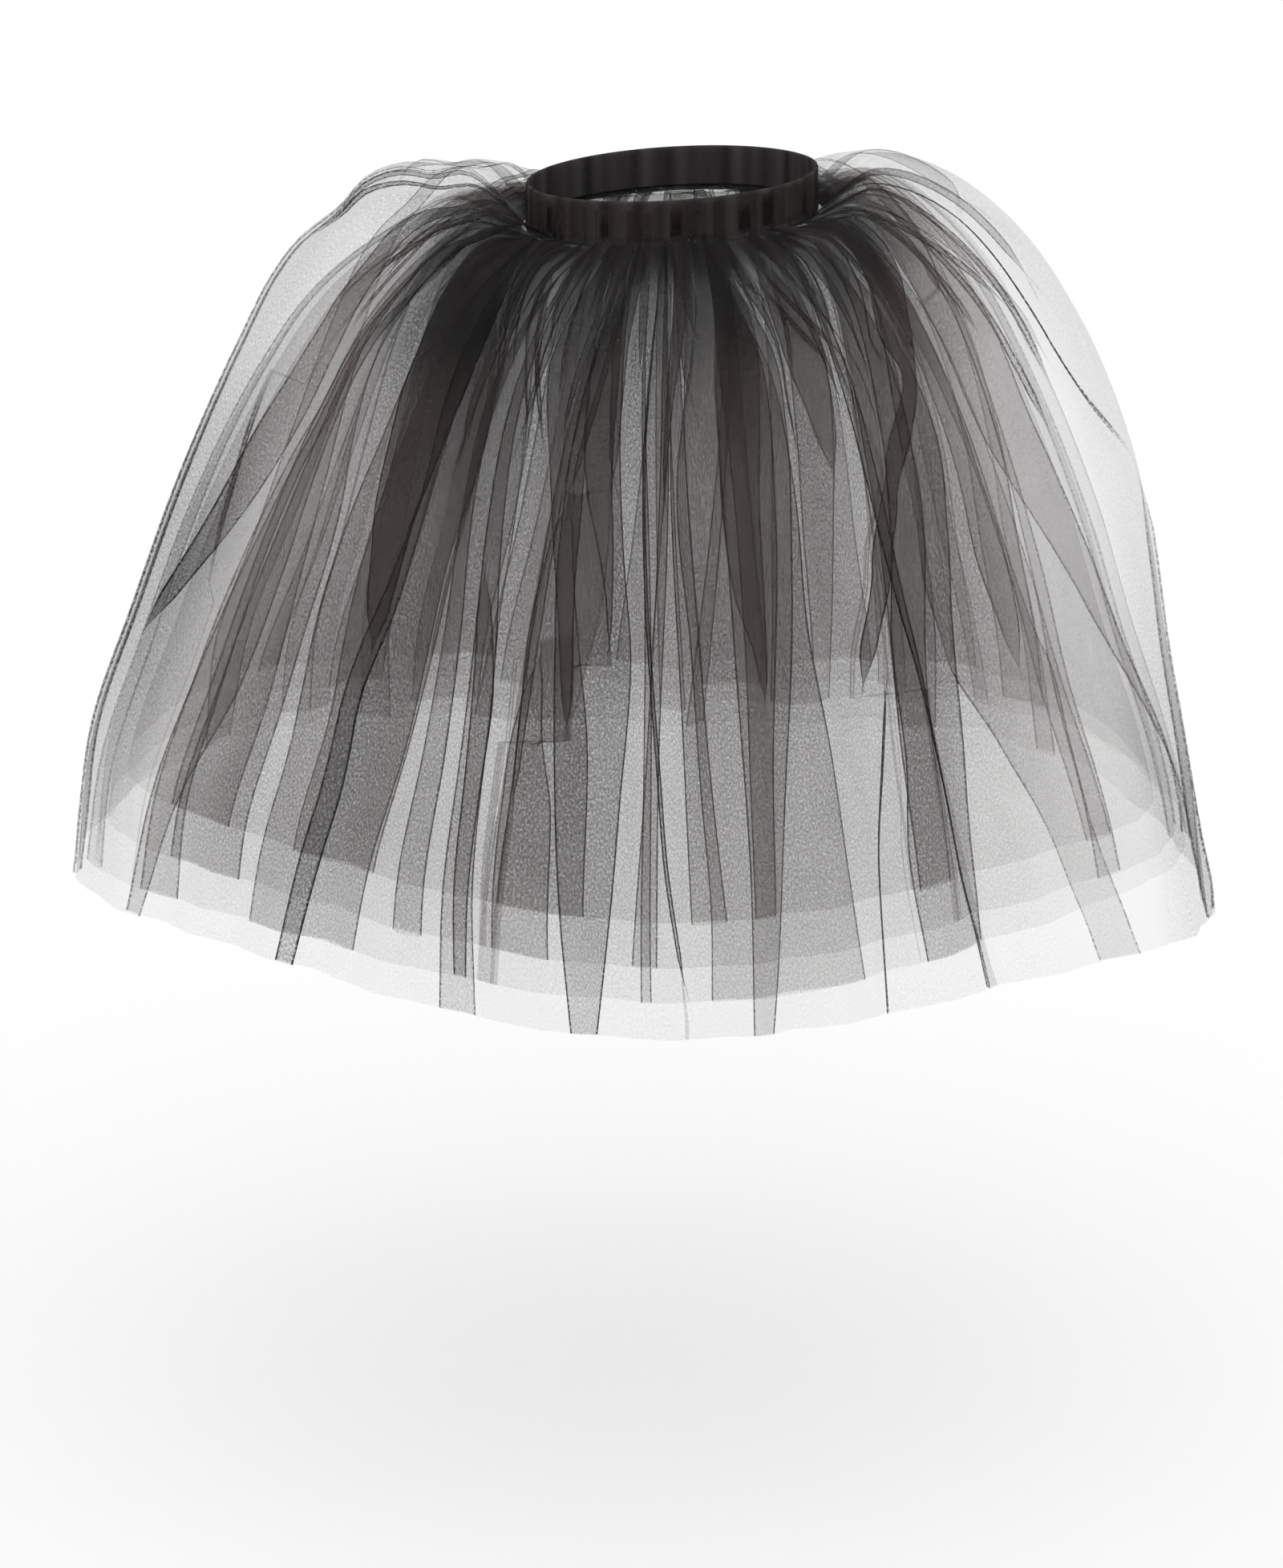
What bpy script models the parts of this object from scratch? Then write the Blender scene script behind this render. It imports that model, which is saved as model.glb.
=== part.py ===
"""Long soft ballet tutu: four gathered layers of tulle hanging from an elastic waist casing.

Each layer is cut as a front and a back panel, joined down the left and right sides.

Metres, +Z up. The origin is the middle of the waist opening, level with the top of the casing;
the front of the skirt faces -Y. Bearings are degrees from the front, growing towards +X.
"""
import math

import bpy
from mathutils import Vector

# Waist, measured on the middle of the elastic
WAIST_HALF_BREADTH = 0.0965
WAIST_HALF_DEPTH = 0.0765
WAIST_TILT = 0.06            # rise of the waist per metre towards +X

# Elastic and the folded tulle casing round it
ELASTIC_HEIGHT = 0.025
ELASTIC_THICKNESS = 0.0015
ELASTIC_TOP = -0.0025
CASING_HEIGHT = 0.028
CASING_WALL = 0.001
SEAM_GAP = 0.0003
CASING_GATHERS = 24
CASING_GATHER_DEPTH = 0.0008
WAIST_COLUMNS = 72

# Tulle layers
TULLE_WALL = 0.001
CLOTH_LENGTH = 0.62          # seam to hem of the longest layer, along the cloth
FOLD_SHAPE = (-1.0, 0.12, 1.0, 0.12)   # trough, side, crest, side: a mesh column for each
SEAM_OUT = 0.0007            # seam line beyond the casing's outer face
SEAM_DROP = 0.0006           # and under its lower edge
SIDE_SEAM_GAP = 0.0012       # between the front and back panels of a layer

# Form of the skirt at the left, right, front and back: how far out from the seam line
# and how far above it the cloth is, at each station from seam (0) to hem (1)
FORM_COLUMNS = ("station", "left_out", "left_rise", "right_out", "right_rise",
                "front_out", "front_rise", "back_out", "back_rise")
FORM_ROWS = (
    (0.00, 0.000, 0.000, 0.000, 0.000, 0.000, 0.000, 0.000, 0.000),
    (0.08, 0.039, 0.038, 0.040, 0.032, 0.031, -0.029, 0.036, -0.005),
    (0.17, 0.092, 0.029, 0.093, 0.016, 0.068, -0.066, 0.079, -0.034),
    (0.28, 0.144, -0.022, 0.145, -0.032, 0.107, -0.114, 0.122, -0.080),
    (0.40, 0.182, -0.096, 0.187, -0.102, 0.142, -0.171, 0.156, -0.139),
    (0.55, 0.216, -0.186, 0.220, -0.197, 0.174, -0.241, 0.187, -0.218),
    (0.70, 0.251, -0.277, 0.240, -0.295, 0.201, -0.314, 0.210, -0.302),
    (0.85, 0.289, -0.367, 0.261, -0.391, 0.223, -0.391, 0.231, -0.387),
    (1.00, 0.306, -0.460, 0.276, -0.490, 0.241, -0.468, 0.247, -0.471),
)

QUARTER_LIFT = 0.024         # the hem hangs this much higher midway between front and sides

# From seam to hem: spacing of neighbouring layers, depth of the folds, and how far the longest
# layer puffs out from the others at the left and right
SPREAD_COLUMNS = ("station", "layer_spacing", "fold_depth", "left_puff", "right_puff")
SPREAD_ROWS = (
    (0.00, 0.0015, 0.000, 0.000, 0.000),
    (0.08, 0.0042, 0.002, 0.014, 0.008),
    (0.17, 0.0072, 0.005, 0.026, 0.018),
    (0.28, 0.0085, 0.007, 0.020, 0.025),
    (0.42, 0.0095, 0.009, 0.007, 0.028),
    (0.60, 0.0100, 0.011, 0.000, 0.020),
    (0.80, 0.0095, 0.012, 0.000, 0.004),
    (1.00, 0.0085, 0.013, 0.000, 0.000),
)
MESH_STATIONS = (0.0, 0.08, 0.17, 0.28, 0.42, 0.60, 0.80)   # the hem is the last row

# The folds, all layers alike, from the left side (-X) across the front and back behind:
# how wide each is, its share of the fold depth, and the station where it starts to open
FIRST_FOLD_BEARING = -90.0
FRONT_FOLDS = 14             # the rest are in the back panel
FOLD_COLUMNS = ("width_deg", "depth_share", "starts")
FOLD_ROWS = (
    (17, 1.10, 0.00), (16, 0.90, 0.00), (11, 1.25, 0.00), (10, 0.80, 0.15), (16, 1.30, 0.00),
    (14, 0.75, 0.10), (11, 0.95, 0.00), (7, 0.70, 0.20), (11, 1.15, 0.00), (12, 0.80, 0.10),
    (16, 1.25, 0.00), (14, 0.85, 0.00), (12, 1.15, 0.00), (13, 0.90, 0.05),
    (15, 1.10, 0.00), (12, 0.80, 0.10), (18, 1.20, 0.00), (16, 0.90, 0.00), (13, 1.15, 0.10),
    (15, 0.80, 0.00), (17, 1.25, 0.00), (14, 0.85, 0.10), (12, 1.05, 0.00), (18, 1.20, 0.00),
    (16, 0.80, 0.00), (14, 1.10, 0.05),
)

# The layers from the outside in: how much shorter than the longest each one hangs
LAYER_COLUMNS = ("name", "left_short", "right_short", "front_short", "back_short")
LAYER_ROWS = (
    ("tulle_layer_top", 0.000, 0.000, 0.000, 0.000),
    ("tulle_layer_second", 0.014, 0.050, 0.027, 0.022),
    ("tulle_layer_third", 0.042, 0.058, 0.052, 0.045),
    ("tulle_layer_under", 0.078, 0.082, 0.086, 0.072),
)

# Materials: colour (linear), roughness
TULLE_COLOUR = (0.022, 0.020, 0.020, 1.0)
TULLE_ROUGHNESS = 0.75
ELASTIC_COLOUR = (0.012, 0.011, 0.011, 1.0)
ELASTIC_ROUGHNESS = 0.9


def clear_scene():
    for old in list(bpy.data.objects):
        bpy.data.objects.remove(old, do_unlink=True)


def make_collection(name):
    collection = bpy.data.collections.new(name)
    bpy.context.scene.collection.children.link(collection)
    return collection


def make_material(name, colour, roughness):
    material = bpy.data.materials.new(name)
    material.use_nodes = True
    surface = material.node_tree.nodes["Principled BSDF"]
    surface.inputs["Base Color"].default_value = colour
    surface.inputs["Roughness"].default_value = roughness
    surface.inputs["Metallic"].default_value = 0.0
    material.diffuse_color = colour
    return material


def column_values(rows, columns, name):
    place = columns.index(name)
    return [(row[0], row[place]) for row in rows]


def smooth_read(points, where):
    """Read a smooth curve through (station, value) points at one station."""
    last = len(points) - 1
    right = next((i for i in range(1, last + 1) if where <= points[i][0]), last)
    left = right - 1

    def slope(i):
        before = points[max(i - 1, 0)]
        after = points[min(i + 1, last)]
        return (after[1] - before[1]) / (after[0] - before[0])

    (x0, y0), (x1, y1) = points[left], points[right]
    width = x1 - x0
    t = (where - x0) / width
    return ((2 * t ** 3 - 3 * t ** 2 + 1) * y0 + (t ** 3 - 2 * t ** 2 + t) * width * slope(left)
            + (-2 * t ** 3 + 3 * t ** 2) * y1 + (t ** 3 - t ** 2) * width * slope(right))


def side_share(bearing):
    """1 at the sides, 0 at the front and the back."""
    return math.sin(bearing) ** 2


def blend_round(bearing, left, right, front, back):
    side = right if math.sin(bearing) > 0 else left
    face = front if math.cos(bearing) > 0 else back
    return side_share(bearing) * side + (1 - side_share(bearing)) * face


def waist_point(bearing, out, height):
    """A point round the waist, a little out from the middle of the elastic."""
    x = (WAIST_HALF_BREADTH + out) * math.sin(bearing)
    y = -(WAIST_HALF_DEPTH + out) * math.cos(bearing)
    return Vector((x, y, height + WAIST_TILT * x))


def skirt_point(bearing, station):
    """A point of the smooth form that the longest layer follows."""
    def read(name):
        return smooth_read(column_values(FORM_ROWS, FORM_COLUMNS, name), station)

    right = math.sin(bearing) > 0
    front = math.cos(bearing) > 0
    side_out = read("right_out" if right else "left_out")
    face_out = read("front_out" if front else "back_out")
    casing_out = ELASTIC_THICKNESS / 2 + SEAM_GAP + CASING_WALL + SEAM_OUT
    x = (WAIST_HALF_BREADTH + casing_out + side_out) * math.sin(bearing)
    y = -(WAIST_HALF_DEPTH + casing_out + face_out) * math.cos(bearing)
    rise = blend_round(bearing, read("left_rise"), read("right_rise"),
                       read("front_rise"), read("back_rise"))
    tilt = WAIST_TILT * x * max(0.0, 1 - 3.0 * station)
    lift = QUARTER_LIFT * station ** 2 * math.sin(2 * bearing) ** 2
    return Vector((x, y, -CASING_HEIGHT - SEAM_DROP + rise + tilt + lift))


def skirt_normal(bearing, station):
    step = 0.002
    low = max(station - step, 0.0)
    high = min(station + step, 1.0)
    along = skirt_point(bearing, high) - skirt_point(bearing, low)
    round_ = skirt_point(bearing + step, station) - skirt_point(bearing - step, station)
    return round_.cross(-along).normalized()


def fold_columns():
    """Bearing, signed depth share and start of each mesh column."""
    columns = []
    trough = FIRST_FOLD_BEARING
    for width, depth, starts in FOLD_ROWS:
        for step, shape in enumerate(FOLD_SHAPE):
            bearing = trough + width * step / len(FOLD_SHAPE)
            columns.append((math.radians(bearing), shape * depth, starts))
        trough += width
    return columns


def opened(station, starts):
    """How far a fold has opened at a station: 0 above its start, 1 well below it."""
    share = min(max((station - starts) / (0.5 - starts / 2), 0.0), 1.0)
    return share * share * (3 - 2 * share) if starts > 0 else 1.0


def hem_station(layer, bearing):
    short = blend_round(bearing, *(layer[name] for name in LAYER_COLUMNS[1:]))
    return 1 - short / CLOTH_LENGTH


def grid_object(name, rows, closed_round, collection, material):
    """An open surface through rows of points, each row running round the waist."""
    count = len(rows[0])
    points = [point for row in rows for point in row]
    faces = []
    for r in range(len(rows) - 1):
        for c in range(count if closed_round else count - 1):
            nxt = (c + 1) % count
            faces.append((r * count + c, (r + 1) * count + c, (r + 1) * count + nxt, r * count + nxt))
    mesh = bpy.data.meshes.new(name)
    mesh.from_pydata(points, [], faces)
    mesh.materials.append(material)
    mesh.shade_smooth()
    obj = bpy.data.objects.new(name, mesh)
    collection.objects.link(obj)
    return obj


def add_wall(obj, thickness):
    wall = obj.modifiers.new("wall", "SOLIDIFY")
    wall.thickness = thickness
    wall.offset = 0.0
    wall.use_even_offset = True
    wall.use_rim = True
    return wall


def make_elastic(collection, material):
    """Flat elastic, joined to a ring."""
    bearings = [2 * math.pi * i / WAIST_COLUMNS for i in range(WAIST_COLUMNS)]
    heights = (ELASTIC_TOP, ELASTIC_TOP - ELASTIC_HEIGHT)
    rows = [[waist_point(b, 0.0, height) for b in bearings] for height in heights]
    add_wall(grid_object("waist_elastic", rows, True, collection, material), ELASTIC_THICKNESS)


def make_casing(collection, material):
    """Tulle folded over the elastic, gathered on its outer face and open along the seam."""
    face_out = ELASTIC_THICKNESS / 2 + SEAM_GAP + CASING_WALL / 2
    section = (                       # out from the elastic, height, share of the gathers
        (face_out, -CASING_HEIGHT, 0.2),
        (face_out, -CASING_HEIGHT * 0.55, 1.0),
        (face_out, -face_out, 0.3),
        (0.0, -CASING_WALL / 2, 0.0),
        (-face_out, -face_out, 0.0),
        (-face_out, -CASING_HEIGHT, 0.0),
    )
    bearings = [2 * math.pi * i / WAIST_COLUMNS for i in range(WAIST_COLUMNS)]
    rows = []
    for out, height, gathers in section:
        rows.append([])
        for bearing in bearings:
            gather = 0.5 + 0.5 * math.sin(CASING_GATHERS * bearing + 1.5 * math.sin(3 * bearing))
            rows[-1].append(waist_point(bearing, out + gathers * gather * CASING_GATHER_DEPTH, height))
    rows.reverse()
    add_wall(grid_object("waist_casing", rows, True, collection, material), CASING_WALL)


def panel_columns():
    """The columns of the front and the back panel, which share their side seams' columns."""
    columns = fold_columns()
    seam = 1                                       # seams run down the side of a fold
    second_seam = seam + FRONT_FOLDS * len(FOLD_SHAPE)
    return {
        "front": columns[seam:second_seam + 1],
        "back": columns[second_seam:] + columns[:seam + 1],
    }


def make_panel(number, layer, side, columns, collection, material):
    """One gathered panel: its folds start at the waist seam and deepen down to the hem."""
    spacing_points = column_values(SPREAD_ROWS, SPREAD_COLUMNS, "layer_spacing")
    depth_points = column_values(SPREAD_ROWS, SPREAD_COLUMNS, "fold_depth")
    left_points = column_values(SPREAD_ROWS, SPREAD_COLUMNS, "left_puff")
    right_points = column_values(SPREAD_ROWS, SPREAD_COLUMNS, "right_puff")
    rows = []
    for place in range(len(MESH_STATIONS) + 1):
        rows.append([])
        for i, (bearing, shape, starts) in enumerate(columns):
            hem = hem_station(layer, bearing)
            station = MESH_STATIONS[place] if place < len(MESH_STATIONS) else hem
            inward = number * smooth_read(spacing_points, station)
            if number > 0:
                inward += blend_round(bearing, smooth_read(left_points, station),
                                      smooth_read(right_points, station), 0.0, 0.0)
            fold = shape * opened(station, starts) * smooth_read(depth_points, station)
            trim = SIDE_SEAM_GAP / 2 / skirt_point(bearing, station).length
            if i == 0:
                bearing += trim
            elif i == len(columns) - 1:
                bearing -= trim
            point = skirt_point(bearing, station)
            rows[-1].append(point + skirt_normal(bearing, station) * (fold - inward))
    name = "%s_%s" % (layer["name"], side)
    add_wall(grid_object(name, rows, False, collection, material), TULLE_WALL)


def main():
    clear_scene()
    collection = make_collection("ballet_tutu")
    tulle = make_material("black nylon tulle", TULLE_COLOUR, TULLE_ROUGHNESS)
    elastic = make_material("black elastic", ELASTIC_COLOUR, ELASTIC_ROUGHNESS)
    make_elastic(collection, elastic)
    make_casing(collection, tulle)
    for number, row in enumerate(LAYER_ROWS):
        for side, columns in panel_columns().items():
            make_panel(number, dict(zip(LAYER_COLUMNS, row)), side, columns, collection, tulle)


main()
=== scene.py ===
import math

import bpy
import numpy as np
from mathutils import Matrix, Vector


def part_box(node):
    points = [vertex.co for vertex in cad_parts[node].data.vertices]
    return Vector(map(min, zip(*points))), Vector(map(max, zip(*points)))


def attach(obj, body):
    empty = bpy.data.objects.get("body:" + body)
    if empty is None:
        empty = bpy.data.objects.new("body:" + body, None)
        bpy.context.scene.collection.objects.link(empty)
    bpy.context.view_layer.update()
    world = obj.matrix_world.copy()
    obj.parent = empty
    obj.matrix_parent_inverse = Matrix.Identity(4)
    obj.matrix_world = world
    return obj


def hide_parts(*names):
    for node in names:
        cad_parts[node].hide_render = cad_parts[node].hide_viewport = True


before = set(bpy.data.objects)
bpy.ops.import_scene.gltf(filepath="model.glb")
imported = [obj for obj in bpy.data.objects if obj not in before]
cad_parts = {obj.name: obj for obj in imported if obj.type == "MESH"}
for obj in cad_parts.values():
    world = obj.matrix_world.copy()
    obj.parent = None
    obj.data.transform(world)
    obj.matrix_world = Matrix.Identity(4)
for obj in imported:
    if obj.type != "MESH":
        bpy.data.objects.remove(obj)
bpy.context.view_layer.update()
print("frame loaded")

fullTurn = 2 * math.pi


def linearColour(hexCode):
    # sRGB hex to the linear values that shaders take
    channels = [int(hexCode[i:i + 2], 16) / 255 for i in (1, 3, 5)]
    return tuple(c / 12.92 if c <= 0.04045 else ((c + 0.055) / 1.055) ** 2.4 for c in channels) + (1.0,)


def addNode(tree, kind, inputs=None, **settings):
    # adds one node: settings are its properties, inputs its values or the sockets that feed them
    node = tree.nodes.new(kind)
    for name, value in settings.items():
        setattr(node, name, value)
    for key, value in (inputs or {}).items():
        if isinstance(value, bpy.types.NodeSocket):
            tree.links.new(value, node.inputs[key])
        else:
            node.inputs[key].default_value = value
    return node


def newMaterial(name):
    material = bpy.data.materials.new(name)
    material.use_nodes = True
    material.node_tree.nodes.clear()
    return material, material.node_tree


# the skirt's form, which all its layers share
skirt = {
    # the middle of the elastic, and the casing that the cloth hangs from
    "elasticThickness": 0.0015,
    "casingWall": 0.001,
    "casingHeight": 0.028,
    "seamGap": 0.0003,
    "seamOut": 0.0007,
    "seamDrop": 0.0006,
    "waistTilt": 0.06,         # the waist is higher at the right, as a share of the distance
    "tiltFade": 3.0,           # the tilt has gone at 1 / tiltFade of the way down
    "clothLength": 0.62,       # seam to hem of the longest layer
    "quarterLift": 0.024,      # the hem is higher midway between front and sides
    "edgeSharpness": 6,        # how closely the edge columns below keep to the two sides
    # how far out from the seam and how far above it the cloth is, from seam (0) to hem (1); the
    # edge columns are added only close to the very left and right
    "sections": {
        "station":   (0.00, 0.08, 0.17, 0.28, 0.40, 0.55, 0.70, 0.85, 1.00),
        "leftOut":   (0.000, 0.039, 0.092, 0.144, 0.182, 0.216, 0.251, 0.289, 0.306),
        "leftRise":  (0.000, 0.038, 0.029, -0.022, -0.096, -0.186, -0.277, -0.367, -0.460),
        "rightOut":  (0.000, 0.040, 0.093, 0.145, 0.187, 0.220, 0.240, 0.261, 0.276),
        "rightRise": (0.000, 0.032, 0.016, -0.032, -0.102, -0.197, -0.295, -0.391, -0.490),
        "frontOut":  (0.000, 0.031, 0.068, 0.107, 0.142, 0.174, 0.201, 0.223, 0.241),
        "frontRise": (0.000, -0.029, -0.066, -0.114, -0.171, -0.241, -0.314, -0.391, -0.468),
        "leftEdge":  (0.000, 0.004, 0.008, 0.011, 0.013, 0.019, 0.018, 0.012, 0.007),
        "rightEdge": (0.000, 0.000, 0.003, 0.005, 0.005, 0.005, 0.003, 0.001, 0.000),
        "backOut":   (0.000, 0.036, 0.079, 0.122, 0.156, 0.187, 0.210, 0.231, 0.247),
        "backRise":  (0.000, -0.005, -0.034, -0.080, -0.139, -0.218, -0.302, -0.387, -0.471),
    },
    # spacing of neighbouring layers, depth of the big folds, half depth of a pleat, and how far
    # the top layer puffs out from the others at the left and right
    "spread": {
        "station":      (0.00, 0.08, 0.17, 0.28, 0.42, 0.60, 0.80, 1.00),
        "layerSpacing": (0.0015, 0.0042, 0.0072, 0.0085, 0.0095, 0.0100, 0.0095, 0.0085),
        "foldDepth":    (0.000, 0.002, 0.005, 0.007, 0.008, 0.008, 0.007, 0.006),
        "leftPuff":     (0.000, 0.014, 0.026, 0.020, 0.007, 0.000, 0.000, 0.000),
        "rightPuff":    (0.000, 0.008, 0.018, 0.025, 0.028, 0.020, 0.004, 0.000),
        "pleatDepth":   (0.0003, 0.0010, 0.0018, 0.0022, 0.0026, 0.0030, 0.0031, 0.0030),
    },
    # two soft dents across the top layer where it puffs out at the left
    "dents": {
        "station": (0.00, 0.07, 0.11, 0.14, 0.18, 0.22, 0.28, 1.00),
        "left":    (0.000, 0.002, -0.005, 0.001, 0.002, -0.004, 0.000, 0.000),
    },
    # big folds from the left side across the front: width in degrees, share of depth, start
    "firstFoldBearing": -90.0,
    "foldShape": (-1.0, 0.12, 1.0, 0.12),
    "folds": (
        (17, 1.10, 0.00), (16, 0.90, 0.00), (11, 1.25, 0.00), (10, 0.80, 0.15), (16, 1.30, 0.00),
        (14, 0.75, 0.10), (11, 0.95, 0.00), (7, 0.70, 0.20), (11, 1.15, 0.00), (12, 0.80, 0.10),
        (16, 1.25, 0.00), (14, 0.85, 0.00), (12, 1.15, 0.00), (13, 0.90, 0.05),
        (15, 1.10, 0.00), (12, 0.80, 0.10), (18, 1.20, 0.00), (16, 0.90, 0.00), (13, 1.15, 0.10),
        (15, 0.80, 0.00), (17, 1.25, 0.00), (14, 0.85, 0.10), (12, 1.05, 0.00), (18, 1.20, 0.00),
        (16, 0.80, 0.00), (14, 1.10, 0.05),
    ),
    # the cloth hangs smooth round the two sides: from where to where in sine of the bearing, how
    # much is smoothed away, and the stations where the big folds come back
    "calm": {"from": 0.55, "to": 0.88, "gathers": 0.97, "folds": 0.94, "foldsBack": (0.80, 1.25)},
    # small gathers that open out of the seam: how many, how deep, where they are deepest
    "gathers": (
        {"count": 67, "depth": 0.0012, "peak": 0.13, "fade": 0.36, "phase": 1.9},
        {"count": 41, "depth": 0.0020, "peak": 0.24, "fade": 0.55, "phase": 3.1},
    ),
    "gatherDrift": ((1.6, 3), (1.1, 8)),      # how far they stray sideways, and how many times round
    "gatherUneven": (0.65, 0.35, 5, 11),      # mean depth, how much it varies, and its two counts round
}

elasticLow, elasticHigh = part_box("waist_elastic")
waistHalfBreadth = (elasticHigh[0] - elasticLow[0]) / 2 - skirt["elasticThickness"] / 2
waistHalfDepth = (elasticHigh[1] - elasticLow[1]) / 2 - skirt["elasticThickness"] / 2
casingOut = skirt["elasticThickness"] / 2 + skirt["seamGap"] + skirt["casingWall"]


def smoothStep(share):
    # eases from 0 to 1, and stays level outside them
    share = np.clip(share, 0.0, 1.0)
    return share * share * (3 - 2 * share)


def smoothCurve(xs, ys, where):
    # smooth curve through points, read at many places at once; level beyond its ends
    xs, ys = np.array(xs, dtype=float), np.array(ys, dtype=float)
    where = np.clip(where, xs[0], xs[-1])
    i = np.clip(np.searchsorted(xs, where, side="left") - 1, 0, len(xs) - 2)
    place = np.arange(len(xs))
    before, after = np.maximum(place - 1, 0), np.minimum(place + 1, len(xs) - 1)
    slopes = (ys[after] - ys[before]) / (xs[after] - xs[before])
    width = xs[i + 1] - xs[i]
    t = (where - xs[i]) / width
    return ((2 * t ** 3 - 3 * t ** 2 + 1) * ys[i] + (t ** 3 - 2 * t ** 2 + t) * width * slopes[i]
            + (-2 * t ** 3 + 3 * t ** 2) * ys[i + 1] + (t ** 3 - t ** 2) * width * slopes[i + 1])


def readTable(table, column, where):
    return smoothCurve(table["station"], table[column], where)


def blendRound(bearing, left, right, front, back):
    sideShare = np.sin(bearing) ** 2
    side = np.where(np.sin(bearing) > 0, right, left)
    face = np.where(np.cos(bearing) > 0, front, back)
    return sideShare * side + (1 - sideShare) * face


def formPoint(bearing, station):
    # a point of the smooth form, at a bearing from the front (-Y) and a station down the cloth
    def read(name):
        return readTable(skirt["sections"], name, station)

    atRight = np.sin(bearing) > 0
    edgeOut = np.where(atRight, read("rightEdge"), read("leftEdge"))
    sideOut = np.where(atRight, read("rightOut"), read("leftOut"))
    sideOut = sideOut + edgeOut * np.sin(bearing) ** skirt["edgeSharpness"]
    faceOut = np.where(np.cos(bearing) > 0, read("frontOut"), read("backOut"))
    x = (waistHalfBreadth + casingOut + skirt["seamOut"] + sideOut) * np.sin(bearing)
    y = -(waistHalfDepth + casingOut + skirt["seamOut"] + faceOut) * np.cos(bearing)
    rise = blendRound(bearing, read("leftRise"), read("rightRise"), read("frontRise"), read("backRise"))
    tilt = skirt["waistTilt"] * x * np.maximum(0.0, 1 - skirt["tiltFade"] * station)
    lift = skirt["quarterLift"] * station ** 2 * np.sin(2 * bearing) ** 2
    z = -skirt["casingHeight"] - skirt["seamDrop"] + rise + tilt + lift
    return np.stack([x, y, z], axis=-1)


def formNormal(bearing, station):
    # which way the smooth form faces, from its slope over a small step both ways
    step = 0.002
    low, high = np.maximum(station - step, 0.0), np.minimum(station + step, 1.0)
    along = formPoint(bearing, high) - formPoint(bearing, low)
    across = formPoint(bearing + step, station) - formPoint(bearing - step, station)
    normal = np.cross(across, -along)
    return normal / np.linalg.norm(normal, axis=-1, keepdims=True)


def bigFoldWave(bearing, station):
    # the large folds that every layer shares, as a share of their depth
    bearings, values, starts = [], [], []
    trough = skirt["firstFoldBearing"]
    for width, depth, start in skirt["folds"]:
        for step, shape in enumerate(skirt["foldShape"]):
            bearings.append(math.radians(trough + width * step / len(skirt["foldShape"])))
            values.append(shape * depth)
            starts.append(start)
        trough += width
    bearings.append(bearings[0] + fullTurn)
    values.append(values[0])
    starts.append(starts[0])
    bearings, values, starts = np.array(bearings), np.array(values), np.array(starts)

    turned = (bearing - bearings[0]) % fullTurn + bearings[0]
    i = np.clip(np.searchsorted(bearings, turned, side="right") - 1, 0, len(bearings) - 2)
    t = (turned - bearings[i]) / (bearings[i + 1] - bearings[i])
    smooth = 0.5 - 0.5 * np.cos(math.pi * t)

    def opened(start):
        return np.where(start > 0, smoothStep((station - start) / (0.5 - start / 2)), 1.0)

    return (1 - smooth) * values[i] * opened(starts[i]) + smooth * values[i + 1] * opened(starts[i + 1])


def gatherWave(bearing, station):
    # small gathers under the casing, uneven round the waist and shared by all layers
    total = np.zeros(np.broadcast(bearing, station).shape)
    (firstShift, firstCount), (secondShift, secondCount) = skirt["gatherDrift"]
    mean, varies, slow, quick = skirt["gatherUneven"]
    for g in skirt["gathers"]:
        size = (g["depth"] * smoothStep(station / g["peak"])
                * smoothStep((g["fade"] - station) / (g["fade"] - g["peak"])))
        phase = (g["count"] * bearing + firstShift * np.sin(firstCount * bearing + g["phase"])
                 + secondShift * np.sin(secondCount * bearing))
        uneven = mean + (varies * np.sin(slow * bearing + 2 * g["phase"])
                         * np.sin(quick * bearing + g["phase"]))
        total = total + size * uneven * np.sin(phase)
    return total


def sideCalm(bearing):
    calm = skirt["calm"]
    return smoothStep((np.abs(np.sin(bearing)) - calm["from"]) / (calm["to"] - calm["from"]))


def clothWaves(bearing, station):
    # big folds and small gathers together, smoothed round the sides
    calm, quiet = skirt["calm"], sideCalm(bearing)
    first, last = calm["foldsBack"]
    back = smoothStep((station - first) / (last - first))
    folds = bigFoldWave(bearing, station) * readTable(skirt["spread"], "foldDepth", station)
    return (folds * (1 - calm["folds"] * quiet * (1 - back))
            + gatherWave(bearing, station) * (1 - calm["gathers"] * quiet))


# Each layer is pleated: where it folds over, three plies lie on each other, and the two edges of
# that strip run down the skirt. A pleat gives which way it laps (1 right, -1 left), how crowded
# the cloth is inside it, and its left and right edge, in degrees round the skirt, at stations
# down the cloth. Where its path stops short of the seam or hem it has opened out.

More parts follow.
